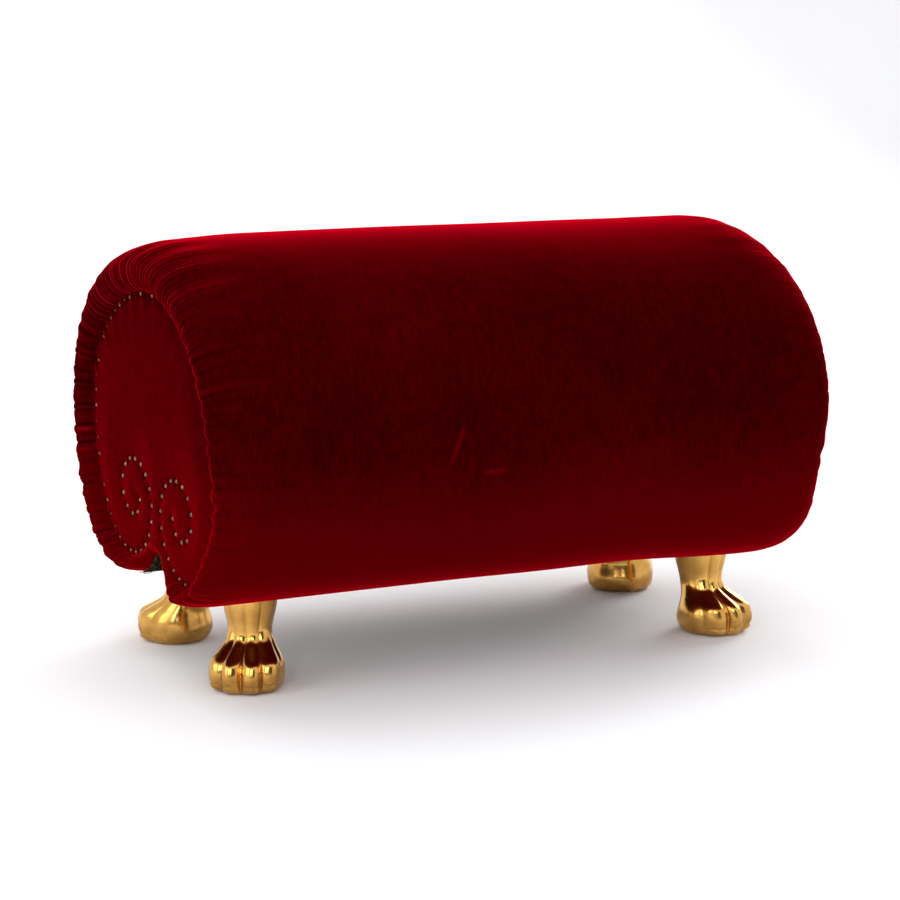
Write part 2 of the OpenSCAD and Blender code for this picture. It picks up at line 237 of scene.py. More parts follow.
COVER_GROWTH = (CROWN_Z - BELLY_Z - NAIL_CROWN, HALF_DEPTH - NAIL_HALF_WIDTH,
                NAIL_BOTTOM_Z - LOBE_BOTTOM_Z, NAIL_BOTTOM_Z - LOBE_BOTTOM_Z)
TUCK_GROWTH = 0.0025           # the cover's hidden edge, behind the rim of an end panel
TUCK_X = PANEL_X - 0.005
CREST = 0.5                    # the share of the padding at the roll's crest
QUARTERS = (0, 1, 2, 3, 4)     # places at the top, side, bottom, groove wall and groove top
TIP_SHARES = (1.0, 1.0, 0.9, 0.1, 0.1)
RUN_SHARES = (1.0, 0.87, 0.63, 0.2, 0.2)


def roll_ends(p, run):
    """How far out the end roll's tip stands and where the roll starts, at place p: smooth curves
    through the shares given for the quarters of the section."""
    tip_share = np.clip(hermite(p, QUARTERS, TIP_SHARES), min(TIP_SHARES), 1)
    run_share = np.clip(hermite(p, QUARTERS, RUN_SHARES), min(RUN_SHARES), 1)
    return PANEL_X + (ROLL_TIP - PANEL_X) * tip_share, PANEL_X - run * run_share


def body_share(x, p, run):
    """The share of the padding at a distance x from the middle, on the body's side of the roll's
    crest: all of it up to the roll's start, then a quarter ellipse down to the crest."""
    tip, start = roll_ends(p, run)
    way = np.clip((x - start) / (tip - start), 0, 1)
    return CREST + (1 - CREST) * np.sqrt(1 - way**2)


def roll_station(t, p, run):
    """The end roll's profile at place p: t is the angle in radians, 0 on the body's side, a
    right angle at the crest and a half turn at the tucked edge. Gives x and the share of the
    padding, both parts being quarter ellipses that meet level at the crest. How far the roll
    stands out and where it starts vary smoothly with the place."""
    tip, start = roll_ends(p, run)
    outer = t <= math.pi / 2
    x = np.where(outer, start + (tip - start) * np.sin(t), TUCK_X + (tip - TUCK_X) * np.sin(t))
    share = np.where(outer, CREST + (1 - CREST) * np.cos(t), CREST + CREST * np.cos(t))
    return x, share + np.zeros_like(x)


def ripples(u, v, rng, count, low, high, stretch=1.0):
    """Smooth random relief of about unit height: a sum of plane waves whose frequencies round
    the section are whole numbers, so that it closes on itself."""
    total = np.zeros(np.broadcast(u, v).shape)
    for _ in range(count):
        k = rng.integers(low, high + 1)
        m = rng.uniform(-high, high) * stretch
        total += np.sin(2 * math.pi * (k * u + m * v) + rng.uniform(0, 2 * math.pi))
    return total / math.sqrt(count)


def surface_normals(points):
    """Unit normals of a grid of points that closes on itself along its second axis."""
    du = np.roll(points, -1, axis=1) - np.roll(points, 1, axis=1)
    dv = np.gradient(points, axis=0)
    n = np.cross(du, dv)
    return n / np.maximum(np.linalg.norm(n, axis=2, keepdims=True), 1e-12)


# ------------------------------------------------------------------ meshes

def new_object(name, vertices, faces, smooth=True):
    """A piece at the origin from an array of points and a list or array of faces."""
    mesh = bpy.data.meshes.new(name)
    if isinstance(faces, np.ndarray):
        faces = faces.tolist()
    mesh.from_pydata(vertices.reshape(-1, 3).tolist(), [], faces)
    mesh.update()
    if smooth:
        mesh.shade_smooth()
    else:
        mesh.shade_flat()
    piece = bpy.data.objects.new(name, mesh)
    bpy.context.scene.collection.objects.link(piece)
    return piece


def grid_faces(rows, columns, wrap):
    """Quads of a grid numbered row by row; wrap joins the last column to the first."""
    j = np.arange(rows - 1)[:, None]
    i = np.arange(columns if wrap else columns - 1)[None, :]
    k = (i + 1) % columns
    a, b = j * columns + i, j * columns + k
    return np.stack([a, b, b + columns, a + columns], axis=-1).reshape(-1, 4)


def add_attribute(piece, name, values):
    """Stores one number for each point of a piece, for its material to read."""
    layer = piece.data.attributes.new(name, "FLOAT", "POINT")
    layer.data.foreach_set("value", np.ascontiguousarray(values, dtype=np.float32).ravel())


def join_parts(parts):
    """One list of vertices and one of faces from several (vertices, faces) pairs."""
    vertices = np.concatenate([v for v, _ in parts])
    starts = np.cumsum([0] + [len(v) for v, _ in parts[:-1]])
    faces = np.concatenate([f + s for (_, f), s in zip(parts, starts)])
    return vertices, faces


# The scroll turns in from the groove round its first quarter, then through three smaller ones:
# centre across and up, half width, half height, and the angles it starts and stops at
SCROLL_Y = 0.072
SCROLL_RISE = 0.048
SCROLL_QUARTERS = (
    ((SCROLL_Y, 0.196), 0.046, 0.037, 90, 0),
    ((0.082, 0.196), 0.036, 0.030, 0, -90),
    ((0.082, 0.188), 0.026, 0.022, -90, -180),
)
QUARTER_POINTS = 40


def nail_line(shape):
    """Half of the nail line, from the top of a panel round its edge, up the groove and inwards
    along the scroll: seven quarter ellipses, each starting where the last one ends."""
    s = shape
    low = s.belly_z - s.nail_bottom_z
    inner = s.lobe_half_width - s.lobe_y
    quarters = (
        ((0, s.belly_z), s.nail_half_width, s.nail_crown, 90, 0),
        ((s.lobe_y, s.belly_z), s.nail_half_width - s.lobe_y, low, 0, -90),
        ((s.lobe_y, s.lobe_z), s.lobe_half_width, s.lobe_z - s.nail_bottom_z, -90, -180),
        ((SCROLL_Y, s.lobe_z), SCROLL_Y + inner, SCROLL_RISE, 180, 90),
    ) + SCROLL_QUARTERS
    points = []
    for (cy, cz), ry, rz, start, stop in quarters:
        t = np.radians(np.linspace(start, stop, QUARTER_POINTS))
        points.append(np.c_[cy + ry * np.cos(t), cz + rz * np.sin(t)])
    return np.concatenate(points)


def nail_spots(shape):
    """Where the nails stand on a panel, evenly spaced along both halves of the nail line."""
    line = nail_line(shape)
    run = np.concatenate([[0], np.cumsum(np.linalg.norm(np.diff(line, axis=0), axis=1))])
    at = np.arange(0, run[-1], shape.nail_pitch)
    half = np.c_[np.interp(at, run, line[:, 0]), np.interp(at, run, line[:, 1])]
    return np.concatenate([half, half[1:] * (-1, 1)])


# ------------------------------------------------------------------ shader maths

class Val:
    """A socket of a node tree that takes part in Python expressions as a number."""

    def __init__(self, tree, socket):
        self.tree, self.socket = tree, socket

    def math(self, operation, *others):
        """A Math node on this value and the others, in that order."""
        return self.tree.node("ShaderNodeMath", {"operation": operation}, [self, *others])

    def reflected(self, operation, first):
        """A Math node on a plain number and then this value."""
        return self.tree.node("ShaderNodeMath", {"operation": operation}, [first, self])

    def __add__(self, other):
        return self.math("ADD", other)

    def __radd__(self, other):
        return self.math("ADD", other)

    def __sub__(self, other):
        return self.math("SUBTRACT", other)

    def __rsub__(self, other):
        return self.reflected("SUBTRACT", other)

    def __mul__(self, other):
        return self.math("MULTIPLY", other)

    def __rmul__(self, other):
        return self.math("MULTIPLY", other)

    def __truediv__(self, other):
        return self.math("DIVIDE", other)

    def __rtruediv__(self, other):
        return self.reflected("DIVIDE", other)

    def clamp(self, low=0.0, high=1.0):
        """The value, kept between low and high."""
        return self.tree.node("ShaderNodeClamp", {}, [self, low, high])

    def step(self, low, high):
        """0 below low, 1 above high, smooth between them."""
        return self.tree.node("ShaderNodeMapRange", {"interpolation_type": "SMOOTHSTEP"},
                              {"Value": self, "From Min": low, "From Max": high})


class Tree:
    """A material's node tree, with one method that makes any node."""

    def __init__(self, name):
        self.material = bpy.data.materials.new(name)
        self.material.use_nodes = True
        self.nodes = self.material.node_tree.nodes
        self.links = self.material.node_tree.links
        self.nodes.clear()
        self.output = self.nodes.new("ShaderNodeOutputMaterial")

    def node(self, kind, settings=None, inputs=None, output=0):
        """Makes a node: settings first, then the values or links of its sockets, by name or in
        order. A colour may be given by its three numbers."""
        made = self.nodes.new(kind)
        for key, value in (settings or {}).items():
            setattr(made, key, value)
        pairs = inputs.items() if isinstance(inputs, dict) else enumerate(inputs or [])
        for key, value in pairs:
            socket = made.inputs[key]
            if isinstance(value, Val):
                self.links.new(value.socket, socket)
            elif isinstance(value, (tuple, list)) and len(value) == 3 and socket.type == "RGBA":
                socket.default_value = (*value, 1.0)
            else:
                socket.default_value = value
        return Val(self, made.outputs[output])

    def position(self):
        """The place on the piece, in metres."""
        return self.node("ShaderNodeTexCoord", output="Object")

    def stretched(self, scale):
        """The place on the piece with each axis scaled."""
        return self.node("ShaderNodeMapping", {}, {"Vector": self.position(), "Scale": scale})

    def noise(self, scale, detail=4.0, rough=0.55, vector=None):
        """Fractal noise about one half, with scale features to the metre."""
        return self.node("ShaderNodeTexNoise", {}, {
            "Vector": vector or self.position(), "Scale": scale, "Detail": detail,
            "Roughness": rough})

    def mix(self, factor, first, second):
        """A colour between two others."""
        made = self.nodes.new("ShaderNodeMix")
        made.data_type = "RGBA"
        for key, value in ((0, factor), (6, first), (7, second)):
            if isinstance(value, Val):
                self.links.new(value.socket, made.inputs[key])
            elif key == 0:
                made.inputs[key].default_value = value
            else:
                made.inputs[key].default_value = (*value, 1.0)
        return Val(self, made.outputs[2])

    def bump(self, height, strength, distance, normal=None):
        """A normal tilted by the slope of a height, over another normal if one is given."""
        inputs = {"Height": height, "Strength": strength, "Distance": distance}
        if normal:
            inputs["Normal"] = normal
        return self.node("ShaderNodeBump", {}, inputs)

    def attribute(self, name):
        """A number stored on the piece's points."""
        return self.node("ShaderNodeAttribute", {"attribute_name": name}, output="Fac")

    def separate(self, vector):
        """The three parts of a vector."""
        made = self.nodes.new("ShaderNodeSeparateXYZ")
        self.links.new(vector.socket, made.inputs[0])
        return [Val(self, made.outputs[i]) for i in range(3)]

    def finish(self, **inputs):
        """The surface's main shader. Names are the shader's own sockets, with _ for a space."""
        named = {key.replace("_", " "): value for key, value in inputs.items()}
        shader = self.node("ShaderNodeBsdfPrincipled", {}, named)
        self.links.new(shader.socket, self.output.inputs["Surface"])
        return self.material


def wear(piece, material):
    """Gives a piece one material and nothing else."""
    piece.data.materials.clear()
    piece.data.materials.append(material)


# Slender marks on the front where the pile was pressed the other way: X and Z of the middle,
# half width and half height in metres, and slant
PRESSED_MARKS = ((-0.103, 0.284, 0.0034, 0.022, 0.42), (-0.056, 0.252, 0.015, 0.0034, 0.0))
# Painted shade in the gathers' valleys and painted shadow round the nails.
VALLEY_SHADE = (0.004, 0.0, 0.0)
DIMPLE_SHADE = (0.003, 0.0, 0.0)
COVER_SHEEN = 1.0
PANEL_SHEEN = 0.42


def velvet_material(name, colours, folds=True):
    """Cut velvet: short pile whose lean shows as soft cloudy patches, a fine weave below it and
    a strong sheen along the surface. Painted light: the lower body is lighter, the gathers get a
    painted highlight on their ridges and raised folds and painted shade in their valleys, and a
    panel gets a painted shadow round each nail."""
    t = Tree(name)
    x, y, z = t.separate(t.position())
    cloud = t.noise(4.5, 2.0, 0.5)
    patch = t.noise(42.0, 4.0, 0.6)
    pile = t.noise(560.0, 2.0, 0.6)
    thread = t.noise(260.0, 2.0, 0.6, t.stretched((1.0, 0.25, 0.25)))
    # Painted light: the lower body is lighter, standing in for light thrown up from the floor.
    painted_low_light = (0.33 - z).step(0.02, 0.22)
    lift = ((cloud - 0.5) * 0.7 + (patch - 0.5) * 0.35 + (thread - 0.5) * 0.9
            + (pile - 0.5) * 1.2 + 0.22 + painted_low_light * 1.0)
    # Painted highlight: raised parts of the gathers are lighter, from their stored height.
    if folds:
        fold = t.attribute("fold")
        lift = lift + fold * 1.5
    for mark_x, mark_z, half_width, half_height, slant in PRESSED_MARKS:
        across = (x - mark_x - (z - mark_z) * slant) / half_width
        along = (z - mark_z) / half_height
        mark = 1 - (across * across + along * along).step(0.0, 1.5)
        lift = lift + mark * ((0 - y).step(0.05, 0.1)) * (0.7 + patch * 0.9)
    colour = t.mix(lift.clamp(), colours.velvet_dark, colours.velvet_light)
    # Painted highlight on the ridges of the gathers and painted shade in their valleys.
    if folds:
        colour = t.mix(fold.step(0.10, 0.30) * (0.35 + pile * 0.8), colour, colours.velvet_ridge_highlight)
        colour = t.mix((0 - fold).step(0.05, 0.45) * 0.85, colour, VALLEY_SHADE)
    else:
        # Painted shadow round each nail.
        colour = t.mix(t.attribute("painted_nail_shadow") * 0.92, colour, DIMPLE_SHADE)
    normal = t.bump(pile * 0.6 + thread * 0.4, 0.55, 0.0006)
    normal = t.bump(patch, 0.35, 0.0012, normal)
    return t.finish(Base_Color=colour, Roughness=0.95, Normal=normal,
                    Specular_IOR_Level=0.0, IOR=1.0, Sheen_Roughness=0.30,
                    Sheen_Weight=COVER_SHEEN if folds else PANEL_SHEEN,
                    Sheen_Tint=(*colours.velvet_sheen, 1.0))


BROWNED_GILDING = (0.50, 0.235, 0.045)
# Browner tarnish towards the floor, also serving as painted dark reflection, and its dark specks.
TARNISH_AND_DARK_REFLECTION = (0.24, 0.11, 0.028)
TARNISH_SPECK = (0.05, 0.03, 0.015)


def gilding_material(colours):
    """Polished gilding over cast metal: faint casting waves, small scratches, and towards the floor a
    duller, browner coat with dark specks, partly tarnish and partly painted dark reflection."""
    t = Tree("gilding")
    _, _, z = t.separate(t.position())
    # Towards the floor: tarnish, darkened further as a painted dark reflection.
    low = 1 - z.step(0.004, 0.042)
    cloud = t.noise(42.0, 4.0, 0.55)
    speck = t.noise(420.0, 3.0, 0.6).step(0.60, 0.70)
    tarnish_and_dark_reflection = (low * (cloud * 1.5 - 0.25)).clamp() * 0.75
    colour = t.mix(cloud.step(0.3, 0.75) * 0.7, colours.gilding, BROWNED_GILDING)
    colour = t.mix(tarnish_and_dark_reflection, colour, TARNISH_AND_DARK_REFLECTION)
    colour = t.mix(speck * low * 0.7, colour, TARNISH_SPECK)
    scratch = t.noise(900.0, 2.0, 0.5, t.stretched((1.0, 1.0, 0.06)))
    rough = 0.15 + tarnish_and_dark_reflection * 0.25 + scratch * 0.05 + cloud * 0.03
    normal = t.bump(t.noise(95.0, 3.0, 0.5), 0.10, 0.0012)
    normal = t.bump(scratch + speck * low, 0.05, 0.0003, normal)
    return t.finish(Base_Color=colour, Metallic=1.0, Roughness=rough, Normal=normal)


NAIL_RUBBED = (0.50, 0.37, 0.21)


def nail_material(colours):
    """Aged brass nail heads: dull brown with rubbed, paler patches."""
    t = Tree("nail_heads")
    rub = t.noise(260.0, 3.0, 0.6)
    colour = t.mix(rub.step(0.45, 0.8), colours.nail_metal, NAIL_RUBBED)
    return t.finish(Base_Color=colour, Metallic=1.0, Roughness=0.22 + rub * 0.22,
                    Normal=t.bump(rub, 0.25, 0.0004))


LINING_FLECK = (0.075, 0.070, 0.036)
WEAVE = 2600.0                 # radians of thread to the metre


def lining_material(colours):
    """Dark dust cloth: a loose plain weave, the product of two sines, with mottled olive
    flecks."""
    t = Tree("dust_cloth")
    x, y, z = t.separate(t.position())
    warp = (x * WEAVE).math("SINE")
    weft = ((y + z) * WEAVE).math("SINE")
    weave = warp * weft
    fleck = t.noise(210.0, 3.0, 0.65)
    colour = t.mix(fleck.step(0.45, 0.72), colours.lining, LINING_FLECK)
    normal = t.bump(weave + fleck * 1.2, 0.5, 0.0005)
    return t.finish(Base_Color=colour, Roughness=0.95, Normal=normal, Specular_IOR_Level=0.0)


PLYWOOD_COLOURS = ((0.52, 0.34, 0.17), (0.33, 0.19, 0.08))
BEECH_COLOURS = ((0.48, 0.27, 0.13), (0.31, 0.15, 0.06))
PLY_LAYERS = 2100.0            # radians of layers to the metre


def wood_material(name, light, dark, layers):
    """Wood: long grain with pores; plywood also shows its layers across its thickness."""
    t = Tree(name)
    grain = t.noise(26.0, 6.0, 0.6, t.stretched((0.12, 1.0, 1.0)))
    pores = t.noise(420.0, 2.0, 0.5, t.stretched((0.08, 1.0, 1.0)))
    colour = t.mix(grain.step(0.3, 0.7), light, dark)
    if layers:
        x, _, _ = t.separate(t.position())
        band = (x * PLY_LAYERS).math("SINE").step(-0.3, 0.3)
        colour = t.mix(band * 0.45, colour, dark)
    return t.finish(Base_Color=colour, Roughness=0.55 + pores * 0.2,
                    Normal=t.bump(grain + pores * 0.5, 0.3, 0.0005))


def steel_material():
    """Zinc-plated steel: mottled crystals."""
    t = Tree("zinc_plate")
    spangle = t.noise(160.0, 3.0, 0.6)
    colour = t.mix(spangle, (0.50, 0.51, 0.53), (0.68, 0.68, 0.66))
    return t.finish(Base_Color=colour, Metallic=1.0, Roughness=0.28 + spangle * 0.2,
                    Normal=t.bump(spangle, 0.1, 0.0003))


def felt_material():
    """Dense dark felt: short matted fibres."""
    t = Tree("felt")
    fibre = t.noise(700.0, 4.0, 0.7)
    colour = t.mix(fibre, (0.018, 0.016, 0.014), (0.075, 0.068, 0.060))
    return t.finish(Base_Color=colour, Roughness=0.95, Normal=t.bump(fibre, 0.6, 0.0006),
                    Specular_IOR_Level=0.15)


# ------------------------------------------------------------------ operators

def shape_of(context):
    """The scene's sizes."""
    return context.scene.footstool_shape


def colours_of(context):
    """The scene's colours."""
    return context.scene.footstool_colours


# How wide the gathers are at places round the section, as a factor on their pitch
PITCH_PLACES = (0.35, 0.8, 1.5, 1.9, 2.3, 3.0)
PITCH_FACTORS = (1.0, 1.3, 1.4, 0.9, 0.9, 1.6)
PITCH_SPREAD = (0.55, 1.5)     # the random factor between neighbours
PLEAT_STEPS = 8


def pleat_grid(shape, rng):
    """Lays out the gathers round the section. Their widths vary at random about a local pitch,
    which is tight at the top and the lobes' bottoms and wide at the sides. Samples are spaced
    so that every valley falls on one. Gives the samples' places round the section, each one's
    gather and its share of the way across that gather, and the number of gathers."""
    section = Section(shape)
    length = 2 * section.evenly(COVER_GROWTH)[1][-1]
    edges = [0.0]
    while edges[-1] < 1.0:
        p = float(section.place(np.array(edges[-1])))
        local = float(np.interp(p, PITCH_PLACES, PITCH_FACTORS))
        edges.append(edges[-1] + shape.pleat_pitch * local * rng.uniform(*PITCH_SPREAD) / length)
    edges = np.array(edges) / edges[-1]
    count = len(edges) - 1
    widths = np.diff(edges)
    inside = np.arange(PLEAT_STEPS) / PLEAT_STEPS
    u = (edges[:-1, None] + widths[:, None] * inside[None, :]).ravel()
    return u, np.repeat(np.arange(count), PLEAT_STEPS), np.tile(inside, count), count


def ridge(inside, lean):
    """A gather's profile: a round ridge that leans to one side between two sharp valleys, the
    square root of a sine over a share raised to the lean."""
    return np.sqrt(np.abs(np.sin(math.pi * inside ** lean)))


class FOOTSTOOL_OT_cover(bpy.types.Operator):
    """Makes the velvet cover with its gathered end rolls"""
    bl_idname = "footstool.cover"
    bl_label = "Velvet cover"

    def execute(self, context):
        shape = shape_of(context)
        points, fold = cover_surface(shape)
        rows, columns = points.shape[:2]
        cover = new_object("velvet_cover_pile", points, grid_faces(rows, columns, True))
        add_attribute(cover, "fold", fold)
        wear(cover, velvet_material("velvet", colours_of(context)))
        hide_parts("velvet_cover", "wadding", "foam_wrap", "end_roll_left",
                    "end_roll_right")
        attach(cover, ROOT)
        return {"FINISHED"}


COVER_SEED = 11
ROLL_RINGS = 46
FADE_RINGS = 28                # between a roll and the even rings of the middle
MIDDLE_RINGS = 16
MIDDLE_X = 0.20
SHOULDER_OUT, SHOULDER_PLACE, SHOULDER_SPREAD = 0.0045, 0.45, 0.3
WAIST_IN, WAIST_PLACE, WAIST_SPREAD = 0.008, 1.22, 0.22


def cover_rings(shape, u, p):
    """X and the share of the padding on every ring: the right roll, rings that fade to an even
    spacing, the middle, and the same again to the left. The right roll's shoulder stands out by
    a bell curve over the section, and both rolls are thinner at the front waist by another."""
    turn = math.pi * (1 - np.linspace(0, 1, ROLL_RINGS))[:, None]
    x_roll, share_roll = roll_station(turn, p, shape.roll_run)
    fade = np.linspace(0, 1, FADE_RINGS + 1)[1:, None]
    x_fade = x_roll[-1:] + (MIDDLE_X - x_roll[-1:]) * fade
    x_middle = np.linspace(MIDDLE_X, -MIDDLE_X, MIDDLE_RINGS + 2)[1:-1, None] + np.zeros_like(p)
    x = np.concatenate([x_roll, x_fade, x_middle, -x_fade[::-1], -x_roll[::-1]])
    shoulder = SHOULDER_OUT * bell(p, SHOULDER_PLACE, SHOULDER_SPREAD) * np.sin(turn) ** 2
    waist = WAIST_IN * bell(p, WAIST_PLACE, WAIST_SPREAD) * np.sin(turn) * (u[None, :] > 0.5)
    x[:ROLL_RINGS] += shoulder - waist
    x[-ROLL_RINGS:] += waist[::-1]
    flat = np.ones((2 * FADE_RINGS + MIDDLE_RINGS, p.shape[1]))
    return x, np.concatenate([share_roll, flat, share_roll[::-1]])


def distance_from_edge(x, share):
    """Distance of each point from the nearer tucked edge: the steps from ring to ring, summed
    along the surface."""
    height = TUCK_GROWTH + (COVER_GROWTH[1] - TUCK_GROWTH) * share
    step = np.hypot(np.diff(x, axis=0), np.diff(height, axis=0))
    run = np.concatenate([np.zeros((1, x.shape[1])), np.cumsum(step, axis=0)])
    return np.minimum(run, run[-1:] - run)


SWING_WAVES, BEND_WAVES = (5, 1, 4), (4, 2, 5)
SWING_END, BEND_END = 0.31, 0.57     # what sets the waves of the two ends apart
SWING, BEND = 0.11, 0.5
DRIFT_RUN = 0.14
DRIFT_STOP = (0.16, 0.24)
DRIFT_TURN = 1.75              # metres of drift that would make one turn round the section


def gather_drift(u, end, from_edge, rng):
    """How far a gather swings sideways as it runs out over the roll: a random share of the
    distance from the edge and another of its square, ending on the body."""
    out = np.clip(from_edge, 0, DRIFT_RUN)
    swing = ripples(u[None, :], SWING_END * end, rng, *SWING_WAVES)
    bend = ripples(u[None, :], BEND_END * end, rng, *BEND_WAVES)
    drift = (swing * SWING * out + bend * BEND * out**2) / DRIFT_TURN
    return drift * (1 - smoothstep(*DRIFT_STOP, from_edge))


CROWN_RISE, CROWN_REACH = 0.0022, 0.42
CROWN_SLOPE = 0.016            # height lost for each metre to the right
CROWN_FALL = (0.24, 0.36)
LOW_RIGHT_FULLER = 0.006
LOW_RIGHT_RISE = (0.15, 0.34)


def cover_growth(x, share):
    """Growth of each ring at the top, side, bottom and groove. The crown adds a cosine over the
    length and a slope that makes it fuller to the left, and the lobes are fuller to the right."""
    crown = CROWN_RISE * np.cos(np.clip(x / CROWN_REACH, -1, 1) * math.pi / 2)
    crown = crown - CROWN_SLOPE * np.minimum(x, CROWN_FALL[0]) * (
        1 - smoothstep(*CROWN_FALL, -x))
    growth = [TUCK_GROWTH + (full - TUCK_GROWTH) * share for full in COVER_GROWTH]
    growth[0] = growth[0] + crown
    growth[2] = growth[2] + LOW_RIGHT_FULLER * smoothstep(*LOW_RIGHT_RISE, x) * share
    return growth


# Places round the section between which each region of the gathers fades in or out
TOP_FADE = (0.25, 0.85)
LOW_RISE, LOW_FALL = (1.55, 1.90), (2.05, 2.35)
CALM_RISE = (2.1, 2.5)
REAR_RISE = (0.3, 0.8)
SIDE_PART, TOP_PART, LOW_PART, REAR_PART = 0.50, 0.50, 0.20, 0.16
GROOVE_CALM = 0.75


def gather_regions(at, place):
    """How strong the gathers are: a sum of the sides' part and of the top's, the lobes' and the
    rear's, times a calm factor in the groove. Gives the top's mask and the calm factor too."""
    top = 1 - smoothstep(*TOP_FADE, at)
    low = smoothstep(*LOW_RISE, at) * (1 - smoothstep(*LOW_FALL, at))
    calm = 1 - GROOVE_CALM * smoothstep(*CALM_RISE, at)
    rear = np.where(place % 1.0 <= 0.5, 1.0, 0.0) * smoothstep(*REAR_RISE, at)
    region = (SIDE_PART + TOP_PART * top + LOW_PART * low + REAR_PART * rear * (1 - top)) * calm
    return top, calm, region


# Each gather's height as a share of the deepest, its reach from the edge and its lean
TALL, REACH, LEAN = (0.30, 1.0), (0.034, 0.078), (0.65, 1.5)
EDGE_SHARE, EDGE_RISE = 0.30, 0.016
RIGHT_PULL, RIGHT_PULL_RISE = 0.62, (0.020, 0.042)
MEAN_RIDGE = 0.75
LONG_RISE, LONG_FALL = (0.02, 0.05), (0.08, 0.15)
LONG_WAVES, LONG_SLANT, LONG_HEIGHT = (9, 16, 38, 0.06), 0.6, 0.00075
SOFT_WAVES, SOFT_HEIGHT = (9, 1, 6), 0.0006
BULGE_WAVES, BULGE_HEIGHT = (8, 30, 72, 0.0), 0.0013
BULGE_MIDDLE, BULGE_SPREAD = 0.026, 0.022
# How strongly the ridges, the bulges and the long folds show in the velvet's colour, as painted
# highlight and painted shade
FOLD_LEVEL, BULGE_SHOWS, LONG_SHOWS = 0.72, 45, 0.05


def cover_surface(shape):
    """The cover as a grid: rings of the section from the right panel's rim, over the end roll,
    along the body and over the left end roll. Each ring's growth follows the roll's profile.
    Gathers are added along the surface's normal and swing sideways as they run out over the
    roll: deep and close at the top, broad and low at the sides, short at the lobes' bottoms.
    Then come a few long shallow folds over the shoulder, soft unevenness of the padding and
    small bulges beside the roll. Gives the points and how high each one stands in its gather."""
    rng = np.random.default_rng(COVER_SEED)
    section = Section(shape)
    u, pleat, inside, count = pleat_grid(shape, rng)
    x, share = cover_rings(shape, u, section.place(u)[None, :])
    from_edge = distance_from_edge(x, share)
    end = np.where(x > 0, 0, 1)
    place = u[None, :] + gather_drift(u, end, from_edge, rng)
    y, z = section.closed(place, cover_growth(x, share))
    points = np.stack([x, y, z], axis=-1)
    normals = surface_normals(points)

    top, calm, region = gather_regions(section.place(place), place)
    tall = per_pleat(rng, count, pleat, end, *TALL)
    reach = per_pleat(rng, count, pleat, end, *REACH)
    lean = per_pleat(rng, count, pleat, end, *LEAN)
    rise = EDGE_SHARE + (1 - EDGE_SHARE) * smoothstep(0.0, EDGE_RISE, from_edge)
    pulled = np.where(x > 0, 1 - RIGHT_PULL * smoothstep(*RIGHT_PULL_RISE, from_edge), 1.0)
    strength = tall * rise * bell(from_edge, 0, reach) * region * pulled
    crests = ridge(inside[None, :], lean)
    relief = shape.pleat_depth * strength * (crests - MEAN_RIDGE)

    long_reach = smoothstep(*LONG_RISE, from_edge) * (1 - smoothstep(*LONG_FALL, from_edge))
    folds = ripples(place, from_edge * LONG_SLANT, rng, *LONG_WAVES)
    relief = relief + LONG_HEIGHT * folds * long_reach * (0.8 + 0.2 * top) * calm * pulled
    soft = ripples(place, x, rng, *SOFT_WAVES) * SOFT_HEIGHT
    bulges = ripples(place, from_edge, rng, *BULGE_WAVES) * BULGE_HEIGHT
    bulges = (pulled * bulges * bell(from_edge, BULGE_MIDDLE, BULGE_SPREAD)
              * (1 - 0.5 * top) * calm)
    points = points + normals * (relief + soft + bulges)[..., None]
    # fold: each point's height in its gathers, bulges and long folds, which the velvet turns into
    # painted highlight on raised parts and painted shade in valleys.
    fold = strength * (crests - FOLD_LEVEL) + BULGE_SHOWS * bulges
    fold = fold + LONG_SHOWS * np.maximum(folds, 0) * long_reach * (1 - top) * calm
    return points, fold


def per_pleat(rng, count, pleat, end, low, high):
    """One random number for each gather at each end, spread over the grid."""
    values = rng.uniform(low, high, (2, count))[:, pleat]
    return np.where(end == 0, values[:1], values[1:])


class FOOTSTOOL_OT_panels(bpy.types.Operator):
    """Makes both end panels, thin padded velvet held down by the nails"""
    bl_idname = "footstool.panels"
    bl_label = "End panels"

    def execute(self, context):
        shape = shape_of(context)
        material = velvet_material("panel_velvet", colours_of(context), folds=False)
        for end, sign in ENDS:
            panel = end_panel(shape, "panel_velvet_" + end, sign)
            wear(panel, material)
            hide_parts("end_panel_" + end, "end_pad_" + end)
            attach(panel, ROOT)
        return {"FINISHED"}


PANEL_GROWTH = 0.0044          # how far the panel's outline stands outside the nail line
PANEL_POINTS = 420
PANEL_RINGS = 74
PANEL_MIDDLE_Z = 0.262
PANEL_PROUD = 0.0004
PANEL_RIM_TUCK = 0.004
PANEL_BACK = 0.0060
PUFF_REACH, PUFF_POWER = 0.040, 1.2
DIMPLE_DEPTH, DIMPLE_SPREAD = 0.0020, 0.0062
DIMPLE_SHADOW = 2.0            # the painted shadow's spread round a nail, in nail radii
LINE_STEP = 5


def distance_to(spots, y, z):
    """Distance of each point of a panel from the nearest of some spots."""
    gap = np.sqrt((y[..., None] - spots[:, 0]) ** 2 + (z[..., None] - spots[:, 1]) ** 2)
    return gap.min(axis=-1)


